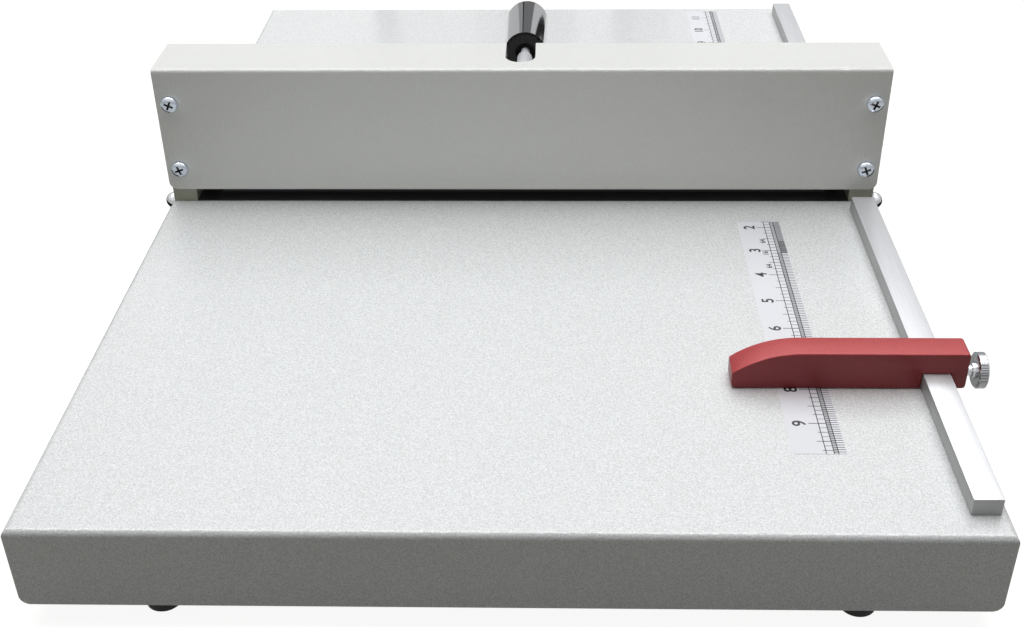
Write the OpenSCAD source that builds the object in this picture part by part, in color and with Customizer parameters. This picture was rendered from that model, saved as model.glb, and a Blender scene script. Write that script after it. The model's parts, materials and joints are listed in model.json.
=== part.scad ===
// Desktop paper creasing machine with a hand lever.
// Frame: X to the operator's right, Y away from the operator, Z up.
// Origin: on the desk, under the middle of the crease line.

/* [Table] */
// Width of the table, side to side
table_w = 405.4; // [360:0.2:480]
// Depth of the table, front to back
table_d = 604; // [520:1:700]
// Height of the skirt folded down round the table
skirt_h = 40; // [34:0.5:60]
// Thickness of the table's sheet steel
sheet_t = 1.5; // [1:0.1:2]
// Outside radius of the table's bends
bend_r = 3; // [2.2:0.1:4.5]
// Radius of the skirt's lower corners
skirt_corner_r = 4.5; // [3:0.5:9]
// Depth of the rails inside the front and rear skirts, which carry the feet
rail_d = 30; // [26:0.5:45]
// Height of a rail's flange against its skirt
rail_h = 16; // [10:0.5:24]
// Width of the tabs that join the skirts at the corners
tab_w = 13; // [10:0.5:20]
// Width of the open seam between two skirts at a corner
seam_w = 0.4; // [0.2:0.1:0.8]
// Diameter of the shallow weld marks on the skirts
weld_d = 5; // [3:0.5:7]

/* [Feet] */
// Height of a rubber foot
foot_h = 12; // [8:0.5:16]
// Diameter of a foot where it meets its rail
foot_top_d = 20; // [17:0.5:24]
// Diameter of a foot at the desk
foot_low_d = 15.6; // [14:0.2:17]
// Distance of a foot's centre from the side of the table
foot_inset_x = 55.2; // [30:0.2:90]
// Distance of a foot's centre from the front or rear of the table
foot_inset_y = 15; // [13:0.5:17]

/* [Cover] */
// Height of the cover's top above the table
cover_top = 81; // [79:0.5:92]
// Height of the cover's lower edge above the table
cover_lip = 8.2; // [7:0.1:12]
// Thickness of the cover's sheet steel
cover_t = 1.5; // [1:0.1:2]
// Outside radius of the cover's bends
cover_bend_r = 2.4; // [2.1:0.1:4]
// Radius of the cover's lower corners
cover_corner_r = 4.5; // [2:0.5:8]
// How far the cover stands past each end plate
cover_over = 1; // [0.2:0.1:1.5]
// Width of the lever's slot in the cover
slot_w = 16.6; // [14.5:0.1:20]
// Distance of the slot's front end from the crease line
slot_front = 10.1; // [9.8:0.1:14]
// Height of the lower cover screws above the table
screw_low = 21.3; // [16:0.1:30]
// Height of the upper cover screws above the table
screw_high = 61; // [50:0.5:70]

/* [Press frame] */
// Thickness of an end plate
end_t = 13.4; // [11:0.2:15]
// Depth of an end plate, front to back
end_d = 37.9; // [37:0.1:44]
// Thickness of the anvil bar between the end plates
anvil_t = 16; // [12:0.5:20]
// How far the anvil bar lies below the table's surface
anvil_drop = 0.2; // [0:0.1:0.6]
// Width of the creasing matrix on the anvil bar
matrix_w = 15; // [10:0.5:20]
// Thickness of the creasing matrix
matrix_t = 1.4; // [1.1:0.1:1.8]
// Width of the matrix's groove
groove_w = 2.8; // [2.6:0.1:4]
// Thickness of the matrix under its groove
groove_floor = 0.3; // [0.2:0.1:0.5]
// Diameter of the studs through the skirt, the end plates and the anvil bar
stud_d = 6; // [5:0.5:7]
// Depth of a stud's centre below the table's surface
stud_drop = 9.7; // [9.7:0.1:11]

/* [Shaft and cams] */
// Height of the shaft's axis above the table
shaft_h = 62; // [60:0.5:62.5]
// Diameter of the shaft
shaft_d = 14; // [12:0.2:15]
// Wall of a shaft bush
bush_wall = 2; // [1.5:0.1:2.5]
// Diameter of a cam
cam_d = 28; // [27:0.1:28.4]
// Width of a cam
cam_w = 12; // [8:0.5:18]
// Distance of a cam's centre from the nearer end plate
cam_inset = 37; // [28:0.5:60]
// Diameter of the shaft's retaining collars
collar_d = 25; // [22:0.5:28]
// Width of a retaining collar
collar_w = 8; // [6:0.5:10]

/* [Lever] */
// Distance of the lever from the middle of the machine, to the right
lever_x = 1; // [-1.5:0.1:1.5]
// Angle of the resting lever above the horizontal, to the rear
rest_angle = -6; // [-8:0.5:-2]
// Angle through which the lever swings
lever_swing = 105; // [95:1:106]
// Diameter of the lever's hub on the shaft
hub_d = 26; // [23:0.5:27]
// Width of the lever's hub
hub_w = 16; // [12:0.5:22]
// Diameter of the lever's rod at its root
rod_d = 9; // [8:0.2:9.6]
// Diameter of the rod past its shoulder
rod_neck_d = 5.4; // [4:0.2:7.8]
// Distance of the rod's shoulder from the shaft's axis
rod_shoulder = 58; // [24:0.5:62]
// Distance of the grip's near end from the shaft's axis
grip_from = 71; // [50:0.5:90]
// Length of the grip
grip_len = 82; // [60:1:110]
// Diameter of the grip at its near end
grip_near_d = 25.6; // [20:0.2:27]
// Largest diameter of the grip
grip_far_d = 27.4; // [20:0.2:28]
// Radius of the grip's far edge
grip_end_r = 7; // [3:0.5:9]
// Wall of the grip's bright sleeve round the plug
grip_wall = 0.8; // [0.6:0.1:1.5]
// Length of the black plug in the grip's near end
plug_len = 12; // [8:0.5:20]
// Diameter of the hollow in the plug's face, round the rod
plug_hollow_d = 12; // [9:0.5:14]

/* [Blade] */
// Distance of the blade's ends from the end plates
blade_inset = 12.6; // [11.6:0.1:27]
// Travel of the blade from rest to the bottom of its stroke
blade_travel = 5.6; // [5:0.1:6]
// Paper thickness left between the blade and the groove's floor
paper_t = 0.4; // [0.2:0.1:0.8]
// Thickness of the creasing blade
blade_t = 2; // [1.2:0.1:2]
// Depth of the blade's seat in its carrier
blade_seat = 12; // [9:0.5:14]
// Depth of the blade carrier, front to back
carrier_d = 20; // [16:0.5:26]
// Height of the blade carrier
carrier_h = 30; // [26:0.5:32]
// Height of the cam pads on the carrier
pad_h = 4.5; // [3:0.1:6]
// Diameter of the guide posts
post_d = 6; // [5:0.1:6.4]
// Wire diameter of the return springs
spring_wire = 1.2; // [0.8:0.1:1.3]
// Turns of a return spring
spring_turns = 5; // [3:1:6]

/* [Fences and rulers] */
// Width of a side fence
fence_w = 12.6; // [10:0.2:14]
// Height of a side fence
fence_h = 8.3; // [6:0.1:10]
// Distance of a fence's outer side from the table's side
fence_inset = 3.9; // [3.2:0.1:10]
// Distance of a fence's near end from the end plate
fence_gap = 10.8; // [6:0.2:20]
// Distance of a fence's far end from the front or rear of the table
fence_end = 13.4; // [8:0.2:30]
// Width of a ruler strip
ruler_w = 23.3; // [18:0.1:28]
// Thickness of a ruler strip
ruler_t = 0.15; // [0.1:0.05:0.25]
// Distance of a ruler's right edge from the side of the table
ruler_inset = 58.4; // [44:0.1:68]
// Distance of the front ruler's near end from the crease line
ruler_front_from = 44.4; // [40:0.2:60]
// Distance of the front ruler's far end from the crease line
ruler_front_to = 250; // [200:0.5:285]
// Distance of the rear ruler's near end from the crease line
ruler_rear_from = 44.4; // [40:0.2:60]
// Distance of the rear ruler's far end from the crease line
ruler_rear_to = 294; // [200:0.5:296]

/* [Paper stop] */
// Distance of the stop's middle from the crease line, in front of it
stop_y = 195.6; // [60:0.2:270]
// Thickness of the stop, front to back
stop_d = 13.8; // [10:0.2:18]
// Height of the stop
stop_h = 19.2; // [16:0.1:26]
// Distance of the stop's tip from the side of the table
stop_tip_inset = 102.8; // [90:0.1:140]
// Distance of the start of the stop's sloping end from the side of the table
stop_slope_inset = 71.7; // [54:0.1:82]
// Radius of the stop's sloping end
stop_slope_r = 51; // [45:0.5:70]
// Thickness of the stop's leg outside the fence
leg_t = 7.3; // [6:0.1:10]
// Radius of the stop's rounded corners
stop_corner_r = 1.6; // [0.8:0.1:2.4]
// Diameter of the thumb screw's shank
thumb_d = 5; // [4:0.1:6]
// Diameter of the thumb screw's knurled head
knob_d = 17; // [12:0.2:20]
// Thickness of the knurled head
knob_t = 4.7; // [3:0.1:6]
// Distance of the knurled head from the stop's leg
knob_gap = 5; // [3:0.1:8]
// Height of the thumb screw's axis above the table
thumb_h = 5.9; // [4.5:0.1:6]

/* [Hidden] */
$fn = 96;

// Clearances
cut = 1;             // overrun of a cutting shape past the face it cuts
side_play = 0.2;     // end plate to the skirt's inner face
cover_play = 0.05;   // end plate to the cover's inner face
top_play = 0.1;      // end plate to the cover's top sheet
table_play = 0.35;   // end plate to the edge of the slot in the table
run = 0.05;          // radial clearance of a turning or sliding fit
seat = 0.02;         // radial clearance of a fixed fit
hole_play = 0.2;     // radial clearance round a screw that passes through
cam_gap = 0.3;       // cam to its pad at rest
rest_gap = 0.3;      // resting lever rod to the bottom of its slot
slide_gap = 0.2;     // paper stop to the ruler and the fence
carrier_play = 0.5;  // blade carrier to an end plate
spring_seat = 0.05;  // spring wire to the faces that it presses on
spring_play = 0.7;   // spring wire to its guide post
rail_play = 0.5;     // foot rail to the corner tabs
post_floor = 1;      // seat of a guide post to the stud below it
screw_gap = 0.5;     // end of a screw to the bottom of its hole
stem_gap = 0.2;      // end of a pad's stem to the bottom of its hole
collar_play = 0.2;   // collar to the flange of its bush
shaft_play = 0.3;    // end of the shaft to the outer face of an end plate

// Heights
deck = foot_h + skirt_h;
axis_z = deck + shaft_h;
anvil_z = deck - anvil_drop;
groove_z = anvil_z + groove_floor;
tip_z = groove_z + paper_t + blade_travel;
pad_z = axis_z + blade_travel / 2 - cam_d / 2 - cam_gap;
carrier_z = pad_z - pad_h;
carrier_low = carrier_z - carrier_h;
cover_z = deck + cover_top;

// Plan sizes
half_w = table_w / 2;
half_d = table_d / 2;
end_out = half_w - sheet_t - side_play;
end_in = end_out - end_t;
end_mid = (end_in + end_out) / 2;
paper_w = 2 * (end_in - blade_inset);
end_y = end_d / 2;
cover_y = end_y + cover_play + cover_t;
cover_x = end_out + cover_over;
foot_x = half_w - foot_inset_x;
foot_y = half_d - foot_inset_y;
rail_x = half_w - sheet_t - tab_w - rail_play;
rail_y = half_d - sheet_t;
post_x = (paper_w / 2 + end_in) / 2;
post_low = deck - stud_drop + stud_d / 2 + post_floor;
cam_x = end_in - cam_inset;
cam_throw = blade_travel / 2 / sin(lever_swing / 2);
cam_angle = 180 - lever_swing / 2;
bush_d = shaft_d + 2 * bush_wall;

// Fasteners
m5 = 5;
m4 = 4;
pan_d = 9.4;
pan_h = 3.3;
cross_w = 1.3;
cover_screw_len = 6.5;
washer_d = 12;
washer_t = 1.2;
cap_hex_d = 11.5;
cap_hex_h = 3;
cap_dome_d = 9.8;
cap_dome_h = 5.2;
cap_bite = 6;
stud_bite = 20;
stud_gap = 1;
foot_edge = 1;
foot_band = 2;
foot_cup_d = 10.6;
foot_floor = 4;
foot_tail = 1.5;
nut_t = 4;
nut_d = 9.2;
blade_screw_n = 6;
blade_head_d = 8.5;
blade_head_h = 4.8;
blade_sink_d = 9;
blade_sink_h = 5;
blade_bore_floor = 2;
hex_d = 4.6;
hex_h = 2.5;
fence_screw_n = 3;
fence_bite = 5.5;
fence_pan_d = 7.6;
fence_pan_h = 2.6;
set_d = 5;
set_len = 6;
set_sink = 0.6;
set_hex_d = 2.9;
set_hex_h = 2.2;

// Press frame, shaft and lever
weld_h = 0.25;
rail_bend_r = 2.4;
post_top = 8;
pad_over = 2;
pad_stem_d = 8;
pad_stem_h = 6;
bush_flange_w = 2;
bush_flange_d = bush_d + 2 * bush_flange_w;
bush_flange_t = 1.5;
centre_d = 3.2;
centre_h = 1;
rod_step = 0.5;
rod_root_d = rod_d - 2 * rod_step;
shoulder_h = 3.2;
grip_solid = 12;
plug_sink = 0.4;
plug_rib_r = 0.7;
plug_rib_h = 3;

// Fences, rulers and the stop
ruler_x = half_w - ruler_inset;
stop_tip_x = half_w - stop_tip_inset;
stop_slope_x = half_w - stop_slope_inset;
fence_out = half_w - fence_inset;
fence_in = fence_out - fence_w;
fence_mid = (fence_in + fence_out) / 2;
fence_from = end_y + fence_gap;
fence_to = half_d - fence_end;
stop_right = fence_out + slide_gap + leg_t;
stop_low = ruler_t + slide_gap;
notch_h = fence_h + slide_gap;
knob_x = stop_right + knob_gap;
knurl_n = 44;
knurl_h = 0.5;
knob_neck_w = 1.2;
knob_neck_d = thumb_d + 2 * knob_neck_w;
knob_neck_h = 1.4;
knob_dish_h = 0.8;
knob_rim = 2.5;
thumb_gap = 0.1;
plug_ribs = 24;

// Colours as the photograph shows them
paint = [0.86, 0.87, 0.86];
plate_paint = [0.72, 0.72, 0.68];
black_steel = [0.10, 0.10, 0.11];
zinc = [0.78, 0.79, 0.80];
chrome = [0.85, 0.86, 0.88];
steel = [0.60, 0.61, 0.62];
bronze = [0.72, 0.55, 0.30];
aluminium = [0.77, 0.78, 0.79];
red = [0.72, 0.10, 0.12];
rubber = [0.07, 0.07, 0.08];
strip_white = [0.93, 0.93, 0.93];

// ---- shared shapes ----

module along_x(at) translate(at) rotate([0, 90, 0]) children();
module along_y(at) translate(at) rotate([-90, 0, 0]) children();
module both_sides() { children(); mirror([1, 0, 0]) children(); }
module both_ends() { children(); mirror([0, 1, 0]) children(); }
module at_corners() both_sides() both_ends() children();

// A block between two opposite corners
module span(low, high) translate(low) cube(high - low);

// A flat outline, w wide from z = low to high, with its upper corners rounded
module arch(w, low, high, r) {
  translate([-w / 2, low]) square([w, high - low - r]);
  translate([-w / 2 + r, low]) square([w - 2 * r, high - low]);
  for (s = [-1, 1]) translate([s * (w / 2 - r), high - r]) circle(r);
}

// An outline in X and Z pushed along Y, and one in Y and Z pushed along X
module push_y(len) translate([0, len / 2, 0]) rotate([90, 0, 0]) linear_extrude(len) children();
module push_x(len) translate([-len / 2, 0, 0]) rotate([90, 0, 90]) linear_extrude(len) children();

// What lies outside a rounded corner of radius r, with the corner at the origin
module spandrel(r, sx, sy) difference() {
  translate([min(0, sx * r) - (sx > 0 ? cut : 0), min(0, sy * r) - (sy > 0 ? cut : 0)]) square(r + cut);
  translate([sx * r, sy * r]) circle(r);
}

// A pan head with a cross recess, its seat at z = 0 and its shank below
module pan_screw(d, head_d, head_h, len) {
  cross_l = head_d * 0.56;
  difference() {
    rotate_extrude() {
      square([head_d / 2, head_h * 0.35]);
      intersection() {
        translate([0, head_h * 0.35]) scale_dome(head_d / 2, head_h * 0.65);
        square([head_d, head_h * 2]);
      }
    }
    for (a = [0, 90]) rotate(a) translate([-cross_l / 2, -cross_w / 2, head_h * 0.45])
      cube([cross_l, cross_w, head_h]);
  }
  translate([0, 0, -len]) cylinder(d = d, h = len);
}

// The right half of a dome's outline, r wide and h high, as one arc
module scale_dome(r, h) {
  big = (r * r + h * h) / (2 * h);
  intersection() {
    translate([0, h - big]) circle(big);
    square([r, h]);
  }
}

// ---- table ----

module base_shell() color(paint) difference() {
  union() {
    difference() {
      intersection() {
        push_x(table_w) arch(table_d, foot_h, deck, bend_r);
        push_y(table_d) arch(table_w, foot_h, deck, bend_r);
      }
      intersection() {
        push_x(table_w) arch(table_d - 2 * sheet_t, foot_h - cut, deck - sheet_t, bend_r - sheet_t);
        push_y(table_d) arch(table_w - 2 * sheet_t, foot_h - cut, deck - sheet_t, bend_r - sheet_t);
      }
    }
    // Corner tabs, run into the skirts that they join
    at_corners() span([half_w - sheet_t - tab_w, half_d - 2 * sheet_t, foot_h + 2 * skirt_corner_r],
      [half_w - sheet_t / 2, half_d - sheet_t / 2, deck - skirt_corner_r]);
  }
  // Slot for the press frame
  span([-half_w + sheet_t, -end_y - table_play, deck - 2 * sheet_t], [half_w - sheet_t, end_y + table_play, deck + cut]);
  at_corners() {
    // Seam where a side skirt ends behind the front or rear one
    span([half_w - sheet_t, half_d - sheet_t - seam_w, foot_h - cut], [half_w + cut, half_d - sheet_t, deck - bend_r]);
    // Rounded lower corners, of the side skirts behind the seam so that no step shows from the front
    translate([half_w, half_d + cut, foot_h]) rotate([90, 0, 0])
      linear_extrude(sheet_t + cut) spandrel(skirt_corner_r, -1, 1);
    translate([half_w - sheet_t - cut / 2, half_d - sheet_t - cut, foot_h]) rotate([90, 0, 90])
      linear_extrude(sheet_t + cut) spandrel(skirt_corner_r, -1, 1);
    // Weld marks where the tabs are joined
    translate([half_w - sheet_t - tab_w / 2, half_d + weld_d - weld_h, foot_h + skirt_h / 3]) sphere(weld_d);
  }
  both_sides() along_x([half_w - 2 * sheet_t, 0, deck - stud_drop])
    cylinder(d = stud_d + 2 * hole_play, h = 3 * sheet_t);
  for (y = fence_rows()) translate([fence_mid, y, deck - 2 * sheet_t])
    cylinder(d = m4 + 2 * hole_play, h = 3 * sheet_t);
}

// Angle welded inside a skirt, whose lower flange carries the feet
module foot_rail() color(paint) difference() {
  push_x(2 * rail_x) difference() {
    translate([rail_y - rail_d, foot_h]) square([rail_d, rail_h]);
    translate([rail_y - rail_d - cut, foot_h + sheet_t]) square([rail_d - sheet_t + cut, rail_h]);
    translate([rail_y, foot_h]) spandrel(rail_bend_r, -1, 1);
  }
  both_sides() translate([foot_x, foot_y, foot_h - cut]) cylinder(d = m5 + 2 * hole_play, h = sheet_t + 2 * cut);
}
module foot_rail_rear() foot_rail();
module foot_rail_front() mirror([0, 1, 0]) foot_rail();

module foot(sx, sy) color(rubber) translate([sx * foot_x, sy * foot_y, 0]) difference() {
  rotate_extrude() polygon([[0, 0], [foot_low_d / 2 - foot_edge, 0], [foot_low_d / 2, foot_edge],
    [foot_top_d / 2, foot_h - foot_band], [foot_top_d / 2, foot_h], [0, foot_h]]);
  translate([0, 0, -cut]) cylinder(d = foot_cup_d, h = foot_h - foot_floor + cut);
  cylinder(d = m5 + 2 * seat, h = foot_h + cut);
}
module foot_front_left() foot(-1, -1);
module foot_front_right() foot(1, -1);
module foot_rear_left() foot(-1, 1);
module foot_rear_right() foot(1, 1);

module foot_screws() color(zinc) at_corners() translate([foot_x, foot_y, foot_h - foot_floor])
  rotate([180, 0, 0]) pan_screw(m5, pan_d, pan_h, foot_floor + sheet_t + nut_t + foot_tail);

module foot_nuts() color(zinc) at_corners() translate([foot_x, foot_y, foot_h + sheet_t]) difference() {
  cylinder(d = nut_d, h = nut_t, $fn = 6);
  translate([0, 0, -cut]) cylinder(d = m5 + 2 * seat, h = nut_t + 2 * cut, $fn = 48);
}

// ---- press frame ----

module anvil_bar() color(black_steel) difference() {
  span([-end_in, -end_y, anvil_z - anvil_t], [end_in, end_y, anvil_z]);
  both_sides() {
    translate([post_x, 0, post_low]) cylinder(d = post_d + 2 * seat, h = anvil_t);
    along_x([end_in - stud_bite, 0, deck - stud_drop])
      cylinder(d = stud_d + 2 * seat, h = stud_bite + cut);
  }
}

module crease_matrix() color(black_steel) difference() {
  span([-paper_w / 2, -matrix_w / 2, anvil_z], [paper_w / 2, matrix_w / 2, anvil_z + matrix_t]);
  span([-half_w, -groove_w / 2, groove_z], [half_w, groove_w / 2, deck + cover_lip]);
}

module end_plate() color(plate_paint) difference() {
  translate([end_mid, 0, 0]) push_x(end_t)
    arch(end_d, anvil_z - anvil_t, cover_z - cover_t - top_play, cover_bend_r);
  along_x([end_in - cut, 0, axis_z]) cylinder(d = bush_d + 2 * seat, h = end_t + 2 * cut);
  along_x([end_in - cut, 0, deck - stud_drop])
    cylinder(d = stud_d + 2 * hole_play, h = end_t + 2 * cut);
  both_ends() {
    for (z = [screw_low, screw_high]) along_y([end_mid, end_y - cover_screw_len, deck + z])
      cylinder(d = m5 + 2 * seat, h = cover_screw_len + cut);
  }
}
module end_plate_right() end_plate();
module end_plate_left() mirror([1, 0, 0]) end_plate();

module side_studs() color(zinc) both_sides()
  along_x([end_in - stud_bite + stud_gap, 0, deck - stud_drop])
    cylinder(d = stud_d, h = half_w + washer_t + cap_bite - screw_gap - (end_in - stud_bite + stud_gap));

module cap_nuts() color(zinc) both_sides() along_x([half_w + washer_t, 0, deck - stud_drop]) difference() {
  union() {
    cylinder(d = cap_hex_d, h = cap_hex_h, $fn = 6);
    translate([0, 0, cap_hex_h]) rotate_extrude() scale_dome(cap_dome_d / 2, cap_dome_h);
  }
  translate([0, 0, -cut]) cylinder(d = stud_d + 2 * seat, h = cap_bite + cut);
}

module side_washers() color(zinc) both_sides() along_x([half_w, 0, deck - stud_drop]) difference() {
  cylinder(d = washer_d, h = washer_t);
  translate([0, 0, -cut]) cylinder(d = stud_d + 2 * hole_play, h = washer_t + 2 * cut);
}

// ---- cover ----

// Height at which the resting rod leaves the cover, and the bottom of the slot below it
rod_exit = axis_z + cover_y * tan(rest_angle);
slot_low = rod_exit - rod_d / 2 / cos(rest_angle) - rest_gap;

module cover() color(paint) difference() {
  push_x(2 * cover_x) difference() {
    arch(2 * cover_y, deck + cover_lip, cover_z, cover_bend_r);
    arch(2 * (cover_y - cover_t), deck + cover_lip - cut, cover_z - cover_t, cover_bend_r - cover_t);
  }
  // Lever slot, through the top and down the rear
  translate([0, 0, cover_z - 2 * cover_t]) linear_extrude(3 * cover_t) {
    translate([-slot_w / 2, slot_w / 2 - slot_front]) square([slot_w, cover_y + slot_front]);
    translate([0, slot_w / 2 - slot_front]) circle(slot_w / 2);
  }
  translate([0, cover_y + cut, 0]) rotate([90, 0, 0]) linear_extrude(cover_t + 2 * cut) {
    translate([-slot_w / 2, slot_low + slot_w / 2]) square([slot_w, cover_z]);
    translate([0, slot_low + slot_w / 2]) circle(slot_w / 2);
  }
  at_corners() {
    translate([cover_x, cover_y + cut, deck + cover_lip]) rotate([90, 0, 0])
      linear_extrude(cover_t + 2 * cut) spandrel(cover_corner_r, -1, 1);
    for (z = [screw_low, screw_high]) along_y([end_mid, cover_y - 2 * cover_t, deck + z])
      cylinder(d = m5 + 2 * hole_play, h = 3 * cover_t);
  }
}

module cover_screws_rear() color(zinc) both_sides() for (z = [screw_low, screw_high])
  along_y([end_mid, cover_y, deck + z]) rotate(z * 7) pan_screw(m5, pan_d, pan_h, cover_t + cover_screw_len - screw_gap);
module cover_screws_front() mirror([0, 1, 0]) cover_screws_rear();

// ---- shaft, cams and lever ----

module bush() color(bronze) along_x([0, 0, axis_z]) difference() {
  union() {
    translate([0, 0, end_in - bush_flange_t]) cylinder(d = bush_d, h = end_t + bush_flange_t);
    translate([0, 0, end_in - bush_flange_t]) cylinder(d = bush_flange_d, h = bush_flange_t);
  }
  cylinder(d = shaft_d + 2 * run, h = half_w);
}
module bush_right() bush();
module bush_left() mirror([1, 0, 0]) bush();

shaft_len = 2 * (end_out - shaft_play);
module cam_shaft() color(steel) along_x([-shaft_len / 2, 0, axis_z]) difference() {
  cylinder(d = shaft_d, h = shaft_len);
  for (z = [-cut, shaft_len - centre_h]) translate([0, 0, z]) cylinder(d = centre_d, h = centre_h + cut);
}

// A place on the shaft at x, turned so that +Y there points at angle a above the rear
module on_shaft(x, a) translate([x, 0, axis_z]) rotate([a, 0, 0]) children();

// A radial screw hole, from the shaft's surface outwards along +Y
module radial_hole(d, len) rotate([-90, 0, 0]) cylinder(d = d, h = len);

module cam(sx) color(steel) on_shaft(sx * cam_x, cam_angle) difference() {
  along_x([-cam_w / 2, cam_throw, 0]) cylinder(d = cam_d, h = cam_w);
  along_x([-cam_w, 0, 0]) cylinder(d = shaft_d + 2 * seat, h = 2 * cam_w);
  radial_hole(set_d + 2 * seat, cam_d);
}
module cam_left() cam(-1);
module cam_right() cam(1);

collar_x = end_in - bush_flange_t - collar_play - collar_w / 2;
module collar(sx) color(steel) on_shaft(sx * collar_x, 90) difference() {
  along_x([-collar_w / 2, 0, 0]) cylinder(d = collar_d, h = collar_w);
  along_x([-collar_w, 0, 0]) cylinder(d = shaft_d + 2 * seat, h = 2 * collar_w);
  radial_hole(set_d + 2 * seat, collar_d);
}
module collar_left() collar(-1);
module collar_right() collar(1);

module lever_hub() color(black_steel) on_shaft(lever_x, rest_angle) difference() {
  along_x([-hub_w / 2, 0, 0]) cylinder(d = hub_d, h = hub_w);
  along_x([-hub_w, 0, 0]) cylinder(d = shaft_d + 2 * seat, h = 2 * hub_w);
  radial_hole(rod_root_d + 2 * seat, hub_d);
  rotate([180, 0, 0]) radial_hole(set_d + 2 * seat, hub_d);
}

// Grub screws that hold the hub, the cams and the collars on the shaft
module grub(len) translate([0, shaft_d / 2 + run, 0]) rotate([-90, 0, 0]) difference() {
  cylinder(d = set_d, h = len);
  translate([0, 0, len - set_hex_h]) cylinder(d = set_hex_d, h = set_hex_h + cut, $fn = 6);
}
module set_screws() color(black_steel) {
  on_shaft(lever_x, rest_angle + 180) grub((hub_d - shaft_d) / 2 - set_sink);
  for (s = [-1, 1]) {
    on_shaft(s * cam_x, cam_angle) grub(set_len);
    on_shaft(s * collar_x, 90) grub((collar_d - shaft_d) / 2 - set_sink);
  }
}

module on_lever() on_shaft(lever_x, rest_angle) rotate([-90, 0, 0]) children();

rod_end = grip_from + grip_len - grip_end_r - grip_solid;
module lever_rod() color(chrome) on_lever() {
  translate([0, 0, shaft_d / 2 + run]) cylinder(d = rod_root_d, h = hub_d / 2 - shaft_d / 2 + cut);
  translate([0, 0, hub_d / 2 + run]) cylinder(d = rod_d, h = rod_shoulder - hub_d / 2 - run);
  translate([0, 0, rod_shoulder]) rotate_extrude() scale_dome(rod_d / 2, shoulder_h);
  translate([0, 0, rod_shoulder - cut]) cylinder(d = rod_neck_d, h = rod_end - rod_shoulder + cut);
}

module lever_grip() color(chrome) on_lever() translate([0, 0, grip_from]) difference() {
  rotate_extrude() {
    polygon([[0, 0], [grip_near_d / 2, 0], [grip_far_d / 2, grip_len - grip_end_r], [0, grip_len - grip_end_r]]);
    translate([0, grip_len - grip_end_r]) square([grip_far_d / 2 - grip_end_r, grip_end_r]);
    intersection() {
      translate([grip_far_d / 2 - grip_end_r, grip_len - grip_end_r]) circle(grip_end_r);
      translate([0, grip_len - grip_end_r]) square([grip_far_d, grip_end_r]);
    }
  }
  translate([0, 0, -cut]) cylinder(d = grip_near_d - 2 * grip_wall, h = plug_len + cut);
  cylinder(d = rod_neck_d + 2 * seat, h = rod_end - grip_from + screw_gap);
}

module grip_plug() color(rubber) on_lever() translate([0, 0, grip_from + plug_sink]) difference() {
  cylinder(r = grip_near_d / 2 - grip_wall - run, h = plug_len - plug_sink);
  translate([0, 0, -cut]) cylinder(d = rod_neck_d + 2 * seat, h = plug_len + 2 * cut);
  translate([0, 0, -cut]) cylinder(d = plug_hollow_d, h = plug_len / 2 + cut);
  for (i = [0 : plug_ribs - 1]) rotate(i * 360 / plug_ribs)
    translate([grip_near_d / 2 - grip_wall, 0, -cut]) cylinder(r = plug_rib_r, h = plug_rib_h + cut, $fn = 24);
}

// ---- blade ----

blade_z = carrier_low + blade_seat;
blade_screw_z = carrier_low + blade_seat / 2;
function blade_screw_x(i) = (i - (blade_screw_n - 1) / 2) * paper_w / blade_screw_n;

module blade_carrier() color(black_steel) difference() {
  span([-end_in + carrier_play, -carrier_d / 2, carrier_low], [end_in - carrier_play, carrier_d / 2, carrier_z]);
  span([-half_w, -blade_t / 2 - seat, carrier_low - cut], [half_w, blade_t / 2 + seat, blade_z + seat]);
  both_sides() {
    translate([post_x, 0, carrier_low - cut]) cylinder(d = post_d + 2 * run, h = carrier_h + 2 * cut);
    translate([cam_x, 0, carrier_z - pad_stem_h]) cylinder(d = pad_stem_d + 2 * seat, h = pad_stem_h + cut);
  }
  for (i = [0 : blade_screw_n - 1]) {
    along_y([blade_screw_x(i), -carrier_d / 2 - cut, blade_screw_z])
      cylinder(d = m5 + 2 * seat, h = carrier_d - blade_bore_floor + cut);
    along_y([blade_screw_x(i), -carrier_d / 2 - cut, blade_screw_z])
      cylinder(d = blade_sink_d, h = blade_sink_h + cut);
  }
}

module crease_blade() color(steel) difference() {
  union() {
    span([-paper_w / 2, -blade_t / 2, tip_z + blade_t / 2], [paper_w / 2, blade_t / 2, blade_z]);
    along_x([-paper_w / 2, 0, tip_z + blade_t / 2]) cylinder(d = blade_t, h = paper_w);
  }
  for (i = [0 : blade_screw_n - 1]) along_y([blade_screw_x(i), -blade_t, blade_screw_z])
    cylinder(d = m5 + 2 * hole_play, h = 2 * blade_t);
}

module blade_screws() color(black_steel) for (i = [0 : blade_screw_n - 1])
  along_y([blade_screw_x(i), -carrier_d / 2 + blade_sink_h - blade_head_h, blade_screw_z]) difference() {
    union() {
      cylinder(d = blade_head_d, h = blade_head_h);
      cylinder(d = m5, h = carrier_d - blade_bore_floor - blade_sink_h + blade_head_h - screw_gap);
    }
    translate([0, 0, -cut]) cylinder(d = hex_d, h = hex_h + cut, $fn = 6);
  }

module cam_pads() color(steel) both_sides() {
  span([cam_x - cam_w / 2 - pad_over, -carrier_d / 2, carrier_z],
    [cam_x + cam_w / 2 + pad_over, carrier_d / 2, pad_z]);
  translate([cam_x, 0, carrier_z - pad_stem_h + stem_gap]) cylinder(d = pad_stem_d, h = pad_stem_h - stem_gap + cut);
}

module guide_posts() color(steel) both_sides() translate([post_x, 0, post_low])
  cylinder(d = post_d, h = carrier_z - post_top - post_low);

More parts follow.
